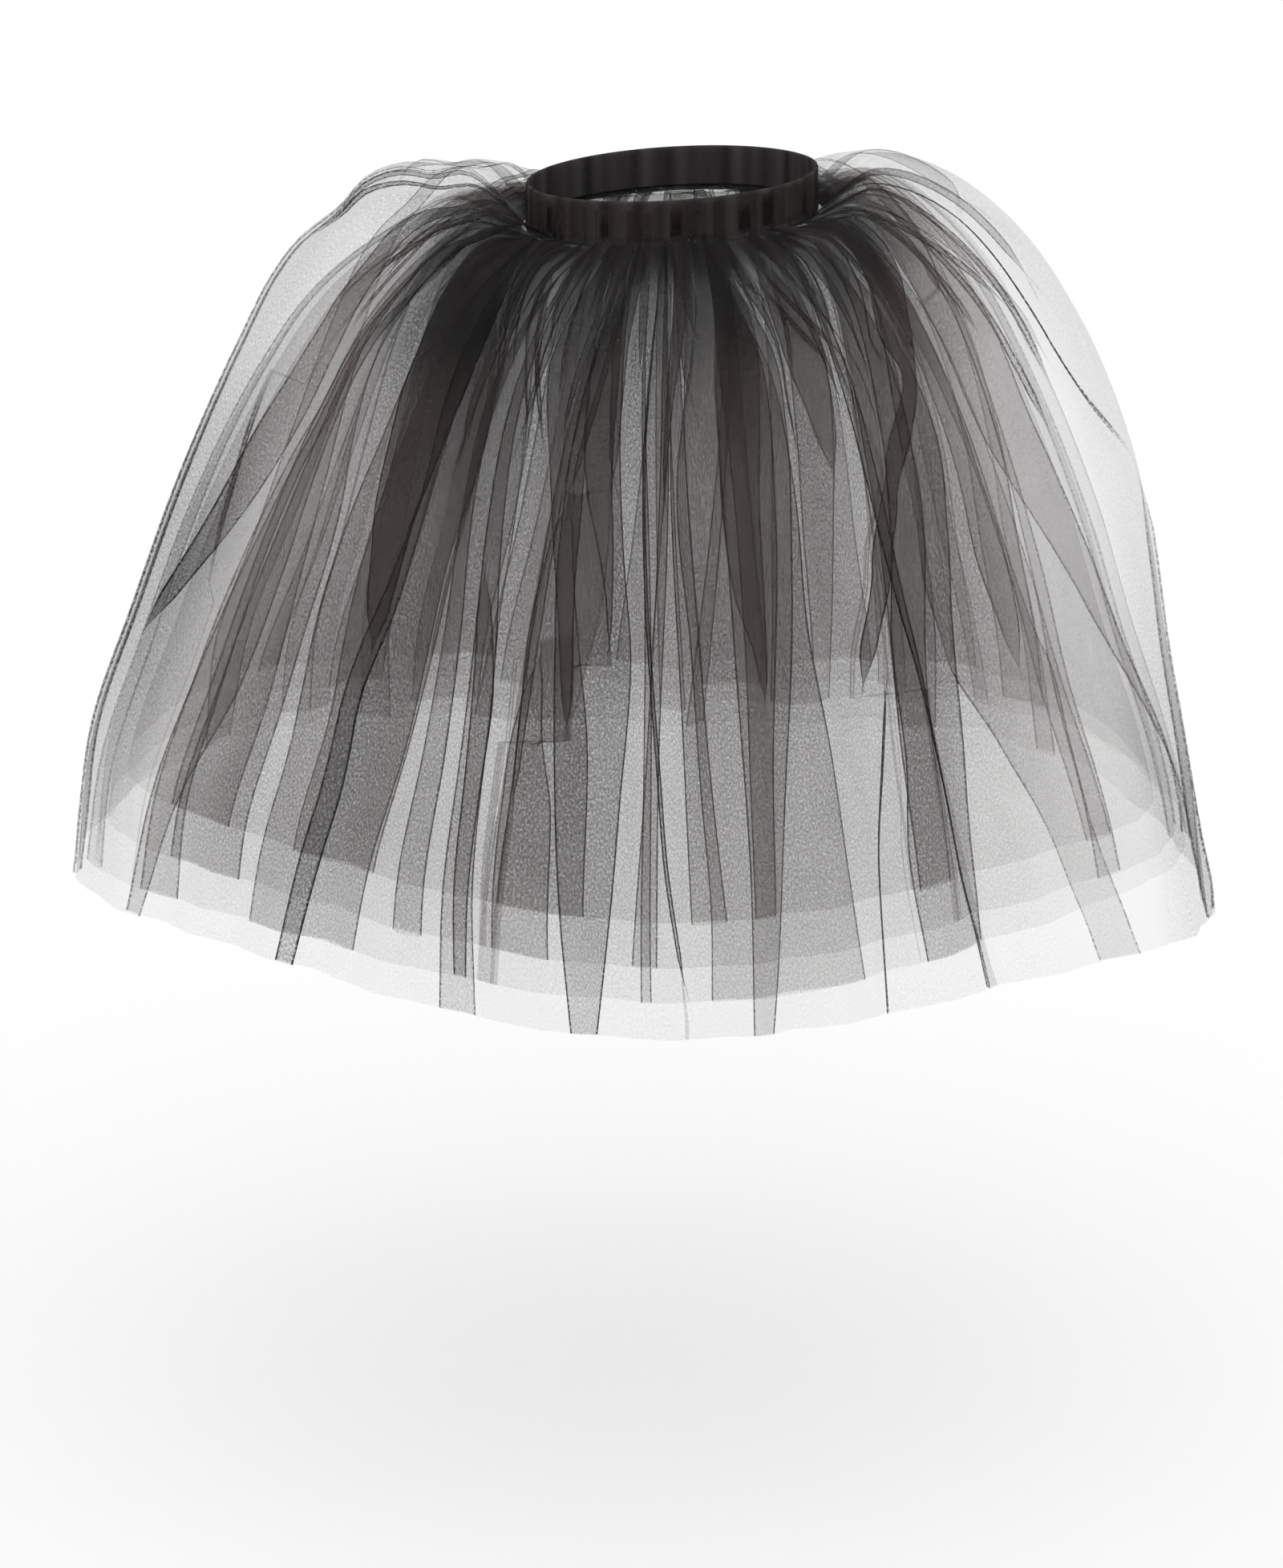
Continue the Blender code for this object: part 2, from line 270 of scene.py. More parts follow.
layers = {
    "tulle_layer_top": {
        "leftShort": 0.000, "rightShort": 0.000, "frontShort": 0.000, "backShort": 0.000, "seed": 3,
        "pleats": (
            (1, 0.8, ((0, -90, -88.5), (0.15, -92, -91.2), (0.35, -93, -92.2), (0.7, -92.5, -90.5),
                      (0.88, -91, -89), (1, -86, -84))),
            (-1, 3.0, ((0, -72, -71), (0.1, -76, -75), (0.2, -85, -84), (0.27, -89, -88.4))),
            (-1, 2.2, ((0, -66, -62), (0.2, -65.5, -61.5), (0.31, -63.5, -58.5), (0.43, -67, -60),
                       (0.56, -71, -66), (0.72, -80, -79.4))),
            (1, 1.6, ((0, -54, -50), (0.2, -55, -51), (0.36, -56, -52), (0.46, -58, -52),
                      (0.56, -60, -52), (0.7, -62, -53), (0.86, -62.5, -57), (1, -64, -60.5))),
            (1, 3.2, ((0, -47, -45), (0.15, -40, -37), (0.35, -36.6, -34.4), (0.5, -37.3, -35.2),
                      (0.65, -39, -36.9), (0.8, -38.4, -36.2), (1, -40, -37.8))),
            (1, 3.0, ((0.08, -38, -37), (0.2, -32, -31), (0.32, -28, -27.3))),
            (-1, 1.6, ((0, -31, -30), (0.2, -27, -25.8), (0.55, -24, -21.5), (0.75, -23, -20.5),
                       (1, -22, -18.6))),
            (-1, 2.6, ((0, -14, -11), (0.12, -15.5, -10), (0.42, -15, -6.3), (0.54, -14, -5),
                       (0.71, -12.4, -5.6), (0.84, -11, -6), (1, -9.4, -7))),
            (1, 2.2, ((0, -4, -3.6), (0.25, -4.6, -4.2), (0.45, -3.6, -3.2), (0.67, -1.8, -1.4),
                      (0.8, -0.8, -0.4), (0.97, 1.4, 1.8))),
            (1, 1.5, ((0, 10, 14), (0.13, 8, 20), (0.28, 7, 17.5), (0.4, 7, 15.5), (0.54, 7.2, 14),
                      (0.77, 8, 12), (1, 8, 10))),
            (1, 2.6, ((0, 27, 28), (0.1, 25, 26), (0.24, 20, 20.8))),
            (-1, 1.8, ((0.56, 25.2, 25.7), (0.7, 23.6, 24.1), (0.82, 22, 22.5), (1, 21.8, 22.3))),
            (-1, 3.0, ((0, 38, 40), (0.12, 31.5, 33.4), (0.22, 28.8, 31), (0.37, 27.2, 29),
                       (0.5, 27.4, 28.6), (0.64, 29, 29.8), (0.75, 30.2, 30.9), (0.86, 31.2, 31.7),
                       (1, 33.8, 34.2))),
            (1, 1.3, ((0, 50, 53), (0.12, 45, 50), (0.25, 37.5, 46), (0.4, 33.5, 44), (0.5, 32, 44),
                      (0.59, 34, 46), (0.65, 36.4, 48.5), (0.74, 40, 49.5), (0.85, 44, 51),
                      (1, 50, 56))),
            (1, 3.0, ((0.02, 55, 56), (0.14, 58, 59), (0.3, 65, 65.8))),
            (-1, 2.4, ((0, 66, 67), (0.15, 70.4, 71.6), (0.3, 68.6, 70), (0.4, 71, 72.2),
                       (0.5, 83, 84))),
            (1, 0.9, ((0.5, 84, 84.6), (0.6, 80.4, 81.4), (0.75, 78.4, 80), (0.88, 77.6, 80),
                      (1, 82, 86))),
            (1, 1.2, ((0, 132, 133), (0.4, 133, 135), (1, 131, 134))),
            (1, 1.5, ((0, 148, 152), (0.4, 148, 156), (0.8, 147, 154), (1, 148, 153))),
            (-1, 1.6, ((0, 170, 171), (0.5, 172, 173), (1, 176, 178))),
            (-1, 1.3, ((0, 190, 194), (0.4, 188, 197), (0.8, 187, 199), (1, 190, 201))),
            (1, 1.0, ((0, 213, 214), (0.5, 214, 216), (1, 211, 214))),
            (-1, 1.4, ((0, 234, 237), (0.4, 228, 236), (0.8, 230, 237), (1, 231, 236))),
        ),
    },
    "tulle_layer_second": {
        "leftShort": 0.014, "rightShort": 0.050, "frontShort": 0.027, "backShort": 0.022, "seed": 5,
        "pleats": (
            (-1, 0.9, ((0, -84, -82), (0.3, -88, -86.5), (0.6, -84, -81), (1, -82, -78))),
            (1, 3.0, ((0, -77, -76), (0.12, -72, -71), (0.28, -67, -66.2))),
            (1, 2.6, ((0.38, -80, -79), (0.5, -74, -73), (0.64, -68.5, -67.5))),
            (1, 1.6, ((0, -66, -63), (0.2, -63, -59), (0.37, -60.5, -57), (0.46, -62, -58),
                      (0.56, -63.3, -58.5), (0.7, -64.5, -58.2), (0.87, -64, -57), (1, -64, -56.5))),
            (-1, 2.0, ((0, -55, -48), (0.15, -52, -39), (0.3, -46.5, -29), (0.5, -47, -30),
                       (0.6, -47, -30), (0.7, -46, -30), (0.82, -44.4, -30.7), (1, -45, -32))),
            (1, 2.8, ((0, -28, -27), (0.12, -24, -23), (0.26, -19.4, -18.6))),
            (1, 2.4, ((0.45, -26, -24.5), (0.62, -24, -21.4), (0.75, -23, -21), (1, -21.4, -20))),
            (1, 1.2, ((0, -18, -15), (0.25, -17, -15.4), (0.6, -18, -16.6), (0.8, -17.4, -16.9))),
            (-1, 1.0, ((0, -8, -7.4), (0.4, -4, -3.2), (1, -3, -2))),
            (1, 1.3, ((0, 4, 14), (0.15, 3, 18), (0.33, 0.5, 17.4), (0.53, 2, 16.4), (0.72, 3, 18),
                      (0.88, 4, 19), (1, 4, 20))),
            (1, 2.8, ((0, 24, 25), (0.12, 27, 28), (0.25, 33, 33.8))),
            (-1, 2.0, ((0, 42, 46), (0.1, 41, 45), (0.24, 36.5, 43), (0.36, 32, 42), (0.47, 29, 39.4),
                       (0.58, 27, 37.3), (0.74, 27, 36.4), (0.86, 26, 35.3), (1, 27, 35))),
            (1, 1.8, ((0, 50, 53), (0.2, 46, 50.5), (0.42, 43, 47.6), (0.52, 42, 48),
                      (0.62, 43.5, 47.4), (0.71, 46, 46.5))),
            (-1, 1.7, ((0, 58, 64), (0.16, 54, 70), (0.3, 51.5, 69), (0.4, 51.5, 67), (0.5, 55, 68.5),
                       (0.63, 62, 72), (0.75, 70, 77.5), (0.87, 79, 83.5), (1, 86, 89))),
            (1, 3.0, ((0, 74, 75), (0.15, 76, 77), (0.32, 84, 85), (0.45, 92, 92.8))),
            (-1, 1.0, ((0, 142, 143), (0.5, 143, 145), (1, 140, 142))),
            (-1, 1.4, ((0, 160, 164), (0.5, 158, 166), (1, 161, 168))),
            (1, 1.2, ((0, 181, 182), (0.5, 180, 182), (1, 178, 181))),
            (1, 1.4, ((0, 202, 207), (0.5, 199, 209), (1, 201, 209))),
            (-1, 1.0, ((0, 225, 226), (0.5, 224, 227), (1, 222, 226))),
        ),
    },
    "tulle_layer_third": {
        "leftShort": 0.042, "rightShort": 0.058, "frontShort": 0.052, "backShort": 0.045, "seed": 7,
        "pleats": (
            (-1, 3.0, ((0, -66, -65), (0.12, -70, -69), (0.28, -76, -75.2))),
            (1, 1.6, ((0.18, -58.6, -58), (0.34, -61, -55), (0.48, -60.5, -50), (0.7, -61.5, -49),
                      (1, -61, -48))),
            (-1, 6.0, ((0, -60, -50), (0.1, -59, -44), (0.18, -53, -39), (0.26, -49, -37),
                       (0.35, -47, -37), (0.47, -44.6, -37.8), (0.57, -41.4, -38),
                       (0.68, -38.6, -38.1))),
            (1, 1.5, ((0, -34, -33), (0.3, -32, -29.5), (0.6, -29, -26.5), (1, -28, -25))),
            (-1, 2.4, ((0, -27, -20), (0.1, -26, -17), (0.2, -24, -15.5), (0.33, -19, -13.4),
                       (0.5, -15.3, -12.8), (0.64, -13.2, -12), (0.72, -12.3, -11.8))),
            (1, 1.4, ((0.56, -16.6, -16), (0.7, -19, -15), (0.8, -19, -13), (1, -18, -12))),
            (1, 1.0, ((0, -3, -2), (0.3, -2, -0.6), (0.7, -3, -1.5), (1, -4, -1.5))),
            (1, 1.5, ((0, 9, 20), (0.11, 9, 20), (0.23, 7.8, 15.5), (0.36, 7, 12.8), (0.5, 8, 12),
                      (0.58, 10, 11.8), (0.68, 11, 11.4))),
            (-1, 1.8, ((0, 24, 31), (0.12, 22, 31), (0.21, 22, 29.4), (0.3, 23, 27),
                       (0.39, 24, 24.5))),
            (-1, 2.6, ((0, 38, 39), (0.1, 37, 38), (0.22, 31.5, 32.3))),
            (1, 5.0, ((0, 52, 60), (0.08, 50, 62), (0.16, 46, 57), (0.23, 41, 50), (0.29, 41.4, 44.6),
                      (0.34, 36.5, 40.4), (0.4, 31.5, 35.3), (0.46, 28, 31.4), (0.52, 26.5, 29),
                      (0.6, 24, 26), (0.68, 22.8, 23.6))),
            (-1, 1.3, ((0, 62, 66), (0.2, 62, 65.5), (0.4, 57, 60), (0.7, 54, 58.5), (1, 54, 60))),
            (1, 2.8, ((0.04, 70, 71), (0.2, 69, 70), (0.36, 75, 76), (0.5, 81, 81.8))),
            (1, 0.9, ((0, 80, 82), (0.3, 82, 85), (1, 82, 88))),
            (1, 1.3, ((0, 130, 135), (0.5, 126, 134), (1, 129, 136))),
            (-1, 1.0, ((0, 150, 151), (0.5, 149, 152), (1, 150, 154))),
            (1, 1.4, ((0, 170, 174), (0.5, 170, 178), (1, 168, 176))),
            (-1, 1.0, ((0, 193, 194), (0.5, 194, 196), (1, 196, 199))),
            (-1, 1.4, ((0, 214, 219), (0.5, 212, 220), (1, 213, 221))),
        ),
    },
    "tulle_layer_under": {
        "leftShort": 0.078, "rightShort": 0.082, "frontShort": 0.086, "backShort": 0.072, "seed": 11,
        "pleats": (
            (1, 2.8, ((0.04, -80, -79), (0.2, -74, -73), (0.36, -69, -68.2))),
            (1, 1.4, ((0, -68, -65), (0.3, -66, -63), (0.5, -66, -57), (0.8, -66, -53),
                      (1, -65, -52))),
            (-1, 1.5, ((0, -58, -50), (0.15, -52, -40), (0.3, -45, -31), (0.6, -45.6, -31),
                       (0.8, -43, -31.5), (1, -42, -32))),
            (1, 2.8, ((0.02, -36, -35), (0.12, -33, -32), (0.25, -25, -24), (0.34, -20.5, -19.8))),
            (1, 2.2, ((0, -20, -15), (0.1, -18, -12), (0.2, -16.5, -10.5), (0.37, -13, -9),
                      (0.45, -10.6, -8.3), (0.53, -9, -8), (0.64, -8.2, -7.8))),
            (-1, 1.8, ((0.36, -15.6, -15), (0.5, -18, -13.4), (0.6, -19, -12), (0.75, -18.5, -10),
                       (1, -18, -9))),
            (-1, 1.4, ((0, 0, 1), (0.3, -0.5, 2), (0.7, 1, 4), (1, 2, 6))),
            (1, 1.3, ((0, 9, 17), (0.15, 9, 18), (0.4, 9, 15), (0.7, 9, 12.6), (1, 9, 11.5))),
            (1, 2.8, ((0.03, 22, 23), (0.12, 25, 26), (0.26, 31, 31.8))),
            (-1, 1.6, ((0, 42, 46), (0.15, 38, 44), (0.3, 32, 41), (0.5, 29, 38), (0.7, 28, 35),
                       (1, 28, 33))),
            (1, 1.2, ((0, 52, 57), (0.2, 50, 56), (0.5, 52, 56), (1, 56, 61))),
            (1, 2.8, ((0, 62, 63), (0.2, 66, 67), (0.36, 70, 70.8))),
            (-1, 1.0, ((0, 138, 139), (0.5, 137, 140), (1, 139, 143))),
            (1, 1.3, ((0, 156, 161), (0.5, 155, 162), (1, 154, 162))),
            (-1, 1.0, ((0, 180, 181), (0.5, 180, 183), (1, 182, 186))),
            (1, 1.3, ((0, 204, 208), (0.5, 201, 208), (1, 200, 208))),
            (-1, 1.0, ((0, 228, 229), (0.5, 228, 231), (1, 229, 233))),
        ),
    },
}

# Between these the cloth is gathered into short folds that fan out from the seam and soon open.
gathering = {
    "spacing": 25.0,           # degrees between short folds where the cloth is a little crowded
    "width": (0.15, 0.45),     # least and most, as a share of the room for each
    "ends": (0.08, 0.42),      # stations where they open out
    "neck": (0.4, 0.22),       # long pleats' width at the seam, and the station where it is full
    "lean": 0.35,              # how far each drifts sideways as it goes down, as a share of its room
    "sway": 0.22,              # how far neighbours drift together
    "crowded": (0.6, 1.8),     # least and most crowding inside them
    "place": 0.22,             # how far each is off its even place, as a share of the room for each
    "inRoom": (0.04, 0.96),    # the part of the room between two long pleats that they keep to
    "taper": (0.8, 1.5),       # how much narrower they end, and how late
    "driftEnds": 1.3,          # they stop drifting this far down, as a share of their length
    "flatShare": 0.35,         # the cloth each takes up once it is open, as a share of its room
    "crowdedAt": 0.1,          # the station where the crowding that sets their number is read
    "crowdedFrom": 0.5,        # cloth less full than this has none
    "leastRoom": 0.4,          # between two long pleats, in degrees
    "flatWidth": 0.8,          # the cloth a long pleat takes up once it is open, in degrees
    # a pleat that has opened out, and how it gives way to its folded neighbours, in degrees
    "open": {"below": 0.02, "half": 0.1, "gap": 0.9},
    # how much fuller each layer's cloth is than the table below, from the top layer inwards
    "innerCloth": (1.0, 1.1, 1.2, 1.3),
    # how much fuller the top layer's cloth is at the very left and right, at stations down it;
    # from is the sine of the bearing where that begins, over how far it takes to be complete
    "edgeCloth": {
        "from": 0.86, "over": 0.10,
        "station": (0.00, 0.10, 0.25, 0.40, 0.55, 0.75, 0.88, 1.00),
        "left":    (1.0, 1.8, 2.0, 2.2, 3.2, 3.4, 2.6, 1.8),
        "right":   (1.0, 1.8, 2.0, 2.0, 2.0, 2.6, 3.0, 2.2),
    },
    "opens": 0.08,             # a pleat opens out over this length of its path
    # a turned-back ply's hem hangs a little above or below the layer's: how far, as a share of the
    # cloth, the least and most of that, how late it sets in, and what is added to the layer's seed
    "slip": 0.006,
    "slipRange": (-0.4, 1.0),
    "slipPower": 4,
    "slipSeed": 100,
}
# How many times fuller the cloth is than where it hangs flat, at stations down it, for bearings
# round it. The gathers are pushed together along the elastic at the left and right of the front.
fullnessTable = {
    "station": (0.00, 0.06, 0.18, 0.32, 0.45, 0.62, 0.80, 1.00),
    "bearings": {
        -180: (5.0, 2.6, 1.6, 1.2, 1.0, 0.9, 0.8, 0.7),
        -130: (4.0, 1.6, 1.0, 0.8, 0.7, 0.7, 0.7, 0.7),
        -105: (3.0, 1.2, 0.9, 0.9, 0.9, 0.9, 0.8, 0.7),
        -85: (3.5, 1.3, 1.0, 1.0, 1.0, 1.0, 0.8, 0.8),
        -68: (6.0, 2.4, 1.3, 0.9, 0.9, 0.8, 0.7, 0.8),
        -58: (10.0, 5.0, 2.2, 1.1, 0.9, 0.9, 1.1, 1.1),
        -49: (12.0, 6.5, 4.0, 1.9, 1.3, 1.4, 1.5, 1.2),
        -40: (9.0, 4.4, 3.2, 1.9, 1.5, 1.5, 1.4, 1.2),
        -28: (9.0, 3.6, 2.5, 2.1, 1.8, 1.5, 1.5, 1.1),
        -10: (9.0, 3.5, 2.4, 1.9, 1.7, 1.6, 1.5, 1.1),
        5: (9.0, 3.2, 2.2, 1.7, 1.7, 1.6, 1.4, 1.2),
        15: (9.0, 3.2, 2.1, 1.6, 1.6, 1.5, 1.4, 1.1),
        28: (9.0, 3.2, 2.0, 1.7, 1.5, 1.5, 1.4, 1.1),
        38: (9.0, 3.6, 2.1, 1.6, 1.5, 1.3, 1.1, 1.0),
        47: (9.0, 4.4, 2.1, 1.2, 1.0, 0.9, 0.8, 0.8),
        57: (7.0, 3.6, 1.4, 0.7, 0.6, 0.6, 0.7, 0.8),
        70: (5.0, 1.8, 0.9, 0.6, 0.6, 0.6, 0.6, 0.9),
        90: (3.5, 0.9, 0.6, 0.6, 0.6, 0.6, 0.7, 0.9),
        130: (4.0, 1.5, 0.9, 0.6, 0.5, 0.5, 0.6, 0.7),
        180: (5.0, 2.6, 1.6, 1.2, 1.0, 0.9, 0.8, 0.7),
    },
}
layerMesh = {
    "rows": 64,
    "rowCrowding": 1.3,        # above 1 the rows are closer together near the waist
    "panelStep": 0.9,          # degrees between the mesh columns of a flat panel
    "turnSteps": 3,            # columns round the turn of a pleat
    "backSteps": 3,            # columns of its turned-back ply
    "turnShare": 0.36,         # radius of a turn, as a share of the pleat's half depth
    "leastHalf": 1.2,          # half width of the narrowest pleat, in turns
    "reachBearing": 0.8,       # where the form's reach is taken, in radians from the front
}


def fullnessAt(bearing, station):
    # read down each column of the table, then blend between the two nearest columns
    table = fullnessTable["bearings"]
    keys = np.array(sorted(table), dtype=float)
    degrees = (np.degrees(bearing) + 180) % 360 - 180
    i = np.clip(np.searchsorted(keys, degrees, side="right") - 1, 0, len(keys) - 2)
    t = smoothStep((degrees - keys[i]) / (keys[i + 1] - keys[i]))
    read = np.stack([np.interp(station, fullnessTable["station"], table[int(key)]) for key in keys])
    left = np.take_along_axis(read, i[None], axis=0)[0]
    right = np.take_along_axis(read, i[None] + 1, axis=0)[0]
    return left * (1 - t) + right * t


def hemStation(layer, bearing):
    # where the layer's hem is, at each bearing
    short = blendRound(bearing, layer["leftShort"], layer["rightShort"],
                       layer["frontShort"], layer["backShort"])
    return 1 - short / skirt["clothLength"]


def openness(rowShare, first, last):
    # 1 where a pleat is folded, falling to 0 where it has opened out before the seam or the hem
    opens = gathering["opens"]
    closed = np.ones_like(rowShare)
    if first > 0:
        closed = closed * smoothStep((rowShare - first) / opens)
    if last < 1:
        closed = closed * smoothStep((last - rowShare) / opens)
    return closed


def makeRoom(pleats):
    # a pleat that has opened out gives way to its folded neighbours, and so they keep their order
    opened = gathering["open"]
    for order, way, lap in ((pleats, 1, -360), (pleats[::-1], -1, 360)):
        far = "right" if way > 0 else "left"
        bound = order[-1][far] + lap
        for pleat in order:
            isOpen = pleat["closed"] < opened["below"]
            middle = (pleat["left"] + pleat["right"]) / 2
            kept = way * np.maximum(way * middle, way * bound + opened["gap"])
            moved = np.where(isOpen, kept - middle, 0.0)
            half = np.where(isOpen, opened["half"], (pleat["right"] - pleat["left"]) / 2)
            pleat["left"], pleat["right"] = middle + moved - half, middle + moved + half
            bound = way * np.maximum(way * bound, way * pleat[far])


def layerPleats(layer, rowShare):
    # every fold of a layer in order round it: its edges, how far it is closed and how crowded it is
    longPleats = []
    for lean, crowded, path in layer["pleats"]:
        stations, lefts, rights = zip(*path)
        left = smoothCurve(stations, lefts, rowShare)
        right = smoothCurve(stations, rights, rowShare)
        narrow, full = gathering["neck"]
        half = (right - left) / 2 * (narrow + (1 - narrow) * smoothStep(rowShare / full))
        longPleats.append({"left": (left + right) / 2 - half, "right": (left + right) / 2 + half,
                           "closed": openness(rowShare, stations[0], stations[-1]), "lean": lean,
                           "crowded": crowded, "flat": np.full_like(rowShare, gathering["flatWidth"])})
    makeRoom(longPleats)
    rng = np.random.default_rng(layer["seed"])
    pleats = []
    for i, pleat in enumerate(longPleats):
        pleats.append(pleat)
        following = longPleats[(i + 1) % len(longPleats)]
        lap = 360.0 if i == len(longPleats) - 1 else 0.0
        low, high = pleat["right"], following["left"] + lap
        room = np.maximum(high - low, gathering["leastRoom"])
        middle = math.radians(float(low[0] + room[0] / 2))
        crowding = float(fullnessAt(np.full(1, middle), np.full(1, gathering["crowdedAt"]))[0])
        spare = max(crowding - gathering["crowdedFrom"], 0)
        count = int(round(float(room[0]) * spare / gathering["spacing"]))
        sway = rng.uniform(-1, 1) * gathering["sway"]
        for k in range(count):
            place = (k + 0.5 + rng.uniform(-gathering["place"], gathering["place"])) / count
            drift = rng.uniform(-1, 1) * gathering["lean"] / count
            last = rng.uniform(*gathering["ends"])
            narrower, late = gathering["taper"]
            wide = (rng.uniform(*gathering["width"]) / count
                    * (1 - narrower * np.clip(rowShare / last, 0, 1) ** late))
            along = np.clip(rowShare / last, 0, gathering["driftEnds"])
            # they sway most in the middle of the room, where 4 * place * (1 - place) is 1
            where = np.clip(place + (drift + 4 * sway * place * (1 - place)) * along,
                            *gathering["inRoom"])
            pleats.append({"left": low + (where - wide / 2) * room,
                           "right": low + (where + wide / 2) * room,
                           "closed": openness(rowShare, 0.0, last), "lean": rng.choice((-1, 1)),
                           "crowded": rng.uniform(*gathering["crowded"]),
                           "flat": gathering["flatShare"] * room / count})
    return pleats


def layerPoints(name, number):
    # the layer's points, row by row from seam to hem, with how full the cloth is at each
    layer = layers[name]
    rowShare = np.linspace(0, 1, layerMesh["rows"]) ** layerMesh["rowCrowding"]
    depth = readTable(skirt["spread"], "pleatDepth", rowShare)
    reach = np.linalg.norm(formPoint(np.full(1, layerMesh["reachBearing"]), rowShare)[:, :2], axis=1)
    turn = depth * layerMesh["turnShare"]
    turnAngle = np.degrees(turn / reach)
    leastHalf = layerMesh["leastHalf"] * turnAngle
    pleats = layerPleats(layer, rowShare)
    rng = np.random.default_rng(layer["seed"] + gathering["slipSeed"])
    bearings, offsets, creases, insides, slips = [], [], [], [], []

    for i, pleat in enumerate(pleats):
        following = pleats[(i + 1) % len(pleats)]
        lap = 360.0 if i == len(pleats) - 1 else 0.0
        middle = (pleat["left"] + pleat["right"]) / 2
        half = np.maximum((pleat["right"] - pleat["left"]) / 2, leastHalf)
        left, right = middle - half, middle + half
        lean, closed = pleat["lean"], pleat["closed"]
        slip = rng.uniform(*gathering["slipRange"]) * gathering["slip"]
        folded = []
        for k in range(layerMesh["turnSteps"]):
            t = k / (layerMesh["turnSteps"] - 1)
            folded.append((right - turnAngle + turnAngle * math.sin(math.pi * t),
                           lean * (depth - turn + turn * math.cos(math.pi * t)), math.sin(math.pi * t)))
        for k in range(1, layerMesh["backSteps"]):
            t = k / layerMesh["backSteps"]
            folded.append(((right - turnAngle) * (1 - t) + (left + turnAngle) * t,
                           lean * (depth - 2 * turn) * (1 - 2 * t), 0.0))
        for k in range(layerMesh["turnSteps"]):
            t = k / (layerMesh["turnSteps"] - 1)
            folded.append((left + turnAngle - turnAngle * math.sin(math.pi * t),
                           lean * (-depth + turn + turn * math.cos(math.pi * t)), math.sin(math.pi * t)))
        for k, (bearing, offset, crease) in enumerate(folded):
            share = k / (len(folded) - 1)
            bearings.append(closed * bearing + (1 - closed) * (middle + (share - 0.5) * pleat["flat"]))
            offsets.append(closed * offset)
            creases.append(closed * crease)
            insides.append((pleat["crowded"] - 1) * closed * (0 < k < len(folded) - 1))
            slips.append(slip * math.sin(math.pi * share) * closed * rowShare ** gathering["slipPower"])

        start = closed * (left + turnAngle) + (1 - closed) * (middle + pleat["flat"] / 2)
        nextMiddle = (following["left"] + following["right"]) / 2
        nextHalf = np.maximum((following["right"] - following["left"]) / 2, leastHalf)
        end = (following["closed"] * (nextMiddle + nextHalf - turnAngle)
               + (1 - following["closed"]) * (nextMiddle - following["flat"] / 2)) + lap
        steps = max(3, round(float(np.max(end - start)) / layerMesh["panelStep"]))
        for k in range(1, steps):
            t = k / steps
            ease = smoothStep(t)
            bearings.append(start + (end - start) * t)
            offsets.append(depth * ((1 - ease) * -lean * closed
                                    + ease * following["lean"] * following["closed"]))
            creases.append(np.zeros_like(depth))
            insides.append(np.zeros_like(depth))
            slips.append(np.zeros_like(depth))

    bearing = np.radians(np.stack(bearings, axis=1))
    offset, crease = np.stack(offsets, axis=1), np.stack(creases, axis=1)
    inside, slip = np.stack(insides, axis=1), np.stack(slips, axis=1)
    station = np.minimum((rowShare[:, None] + slip) * hemStation(layer, bearing), 1.0)
    inward = number * readTable(skirt["spread"], "layerSpacing", station)
    if number > 0:
        inward = inward + blendRound(bearing, readTable(skirt["spread"], "leftPuff", station),
                                     readTable(skirt["spread"], "rightPuff", station), 0.0, 0.0)
    else:
        inward = inward - blendRound(bearing, readTable(skirt["dents"], "left", station), 0.0, 0.0, 0.0)
    out = clothWaves(bearing, station) + offset - inward
    points = formPoint(bearing, station) + formNormal(bearing, station) * out[..., None]
    cloth = fullnessAt(bearing, station) * gathering["innerCloth"][number]
    if number == 0:
        edge = gathering["edgeCloth"]
        more = np.where(np.sin(bearing) > 0, readTable(edge, "right", station),
                        readTable(edge, "left", station))
        near = smoothStep((np.abs(np.sin(bearing)) - edge["from"]) / edge["over"])
        cloth = cloth * (1 + (more - 1) * near)
    fullness = (cloth + inside) * (1 + tulle["creaseDarkness"] * crease)
    return points, station, bearing, fullness


def ringMesh(name, points, attributes, across, down):
    # closed ring of quads through rows of points; across and down are cloth lengths for the UVs
    rows, count = points.shape[:2]
    r, c = np.meshgrid(np.arange(rows - 1), np.arange(count), indexing="ij")
    following = (c + 1) % count
    faces = np.stack([r * count + c, (r + 1) * count + c, (r + 1) * count + following,
                      r * count + following], axis=-1).reshape(-1, 4)
    mesh = bpy.data.meshes.new(name)
    mesh.from_pydata(points.reshape(-1, 3).tolist(), [], faces.tolist())
    for key, values in attributes.items():
        layer = mesh.attributes.new(key, "FLOAT", "POINT")
        layer.data.foreach_set("value", values.reshape(-1).astype(np.float32))
    uvs = np.zeros((len(faces), 4, 2), dtype=np.float32)
    beyond = across[:, -1:] + across[:, -1:] - across[:, -2:-1]
    acrossNext = np.concatenate([across[:, 1:], beyond], axis=1)
    for corner, (dr, dc) in enumerate(((0, 0), (1, 0), (1, 1), (0, 1))):
        source = acrossNext if dc else across
        uvs[:, corner, 0] = source[(r + dr).reshape(-1), c.reshape(-1)]
        uvs[:, corner, 1] = down[(r + dr).reshape(-1), c.reshape(-1)]
    layer = mesh.uv_layers.new(name="cloth")
    layer.data.foreach_set("uv", uvs.reshape(-1))
    mesh.shade_smooth()
    obj = bpy.data.objects.new(name, mesh)
    bpy.context.scene.collection.objects.link(obj)
    return obj


